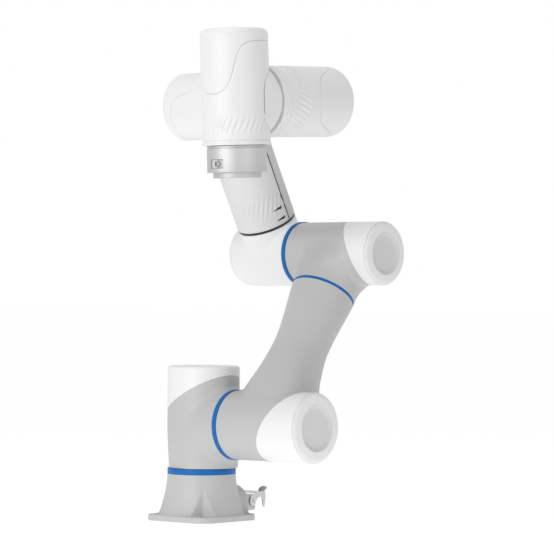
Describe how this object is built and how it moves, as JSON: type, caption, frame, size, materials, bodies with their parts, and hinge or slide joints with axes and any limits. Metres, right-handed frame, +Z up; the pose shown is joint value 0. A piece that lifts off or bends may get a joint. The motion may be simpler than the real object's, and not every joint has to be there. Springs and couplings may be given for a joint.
{
  "type": "collaborative robot arm",
  "caption": "White collaborative robot arm with turning drive housings at shoulder, elbow and wrist, blue light rings, a square base and a bolted tool flange.",
  "frame": {"origin": "centre of the base's mounting face, on the first joint's axis", "axes": "+Z up along the first joint's axis; the shoulder, elbow and first wrist axes run along Y, and the upper arm leans toward +X in the stored pose"},
  "size_m": [0.3167, 0.2815, 0.6514],
  "materials": {
    "casting": "satin grey paint",
    "white_casting": "satin white paint",
    "lid": "satin white paint",
    "cover": "satin",
    "light_ring": "translucent blue",
    "flange": "satin",
    "connector": "cast grey",
    "dark_plastic": "matte",
    "steel": "bright"
  },
  "bodies": {
    "base": {"base_casting": "casting", "base_light_ring": "light_ring", "connector_housing": "connector", "connector_insert": "dark_plastic"},
    "turret": {"turret_housing": "casting", "turret_lid": "lid", "shoulder_light_ring": "light_ring"},
    "upper_arm": {"upper_arm_casting": "casting", "shoulder_lid": "lid", "upper_arm_light_ring": "light_ring", "elbow_housing": "casting", "elbow_lid": "lid"},
    "forearm": {"forearm_housing": "white_casting", "elbow_light_ring": "light_ring", "forearm_front_cover": "cover", "forearm_rear_cover": "cover", "forearm_casting": "white_casting", "wrist_1_lid": "lid"},
    "second_wrist": {"wrist_2_housing": "white_casting", "wrist_2_lid": "lid"},
    "third_wrist": {"wrist_3_housing": "white_casting", "wrist_3_lid": "lid"},
    "tool_flange": {"tool_flange": "flange", "tool_socket": "dark_plastic"},
    "connector_lever": {"connector_lever": "steel"}
  },
  "joints": [
    {"name": "base_turn", "type": "hinge", "parent": "base", "child": "turret", "pos_m": [0, 0, 0.0714], "axis": [0, 0, 1], "range_deg": [-360, 360]},
    {"name": "shoulder_swing", "type": "hinge", "parent": "turret", "child": "upper_arm", "pos_m": [0, 0, 0.13], "axis": [0, 1, 0], "range_deg": [-360, 360]},
    {"name": "elbow_bend", "type": "hinge", "parent": "upper_arm", "child": "forearm", "pos_m": [0.14883, 0, 0.36006], "axis": [0, 1, 0], "range_deg": [-66, 208]},
    {"name": "first_wrist_turn", "type": "hinge", "parent": "forearm", "child": "second_wrist", "pos_m": [0.04144, 0, 0.56118], "axis": [0, 1, 0], "range_deg": [-360, 360]},
    {"name": "second_wrist_turn", "type": "hinge", "parent": "second_wrist", "child": "third_wrist", "pos_m": [0.04144, -0.127, 0.56118], "axis": [0.999, 0, 0.0454], "range_deg": [-360, 360]},
    {"name": "third_wrist_turn", "type": "hinge", "parent": "third_wrist", "child": "tool_flange", "pos_m": [-0.07544, -0.127, 0.55587], "axis": [-0.0454, 0, 0.999], "range_deg": [-360, 360]},
    {"name": "lever_hinge", "type": "hinge", "parent": "base", "child": "connector_lever", "pos_m": [0.083, 0, 0.022], "axis": [0, -1, 0], "range_deg": [0, 85]}
  ]
}
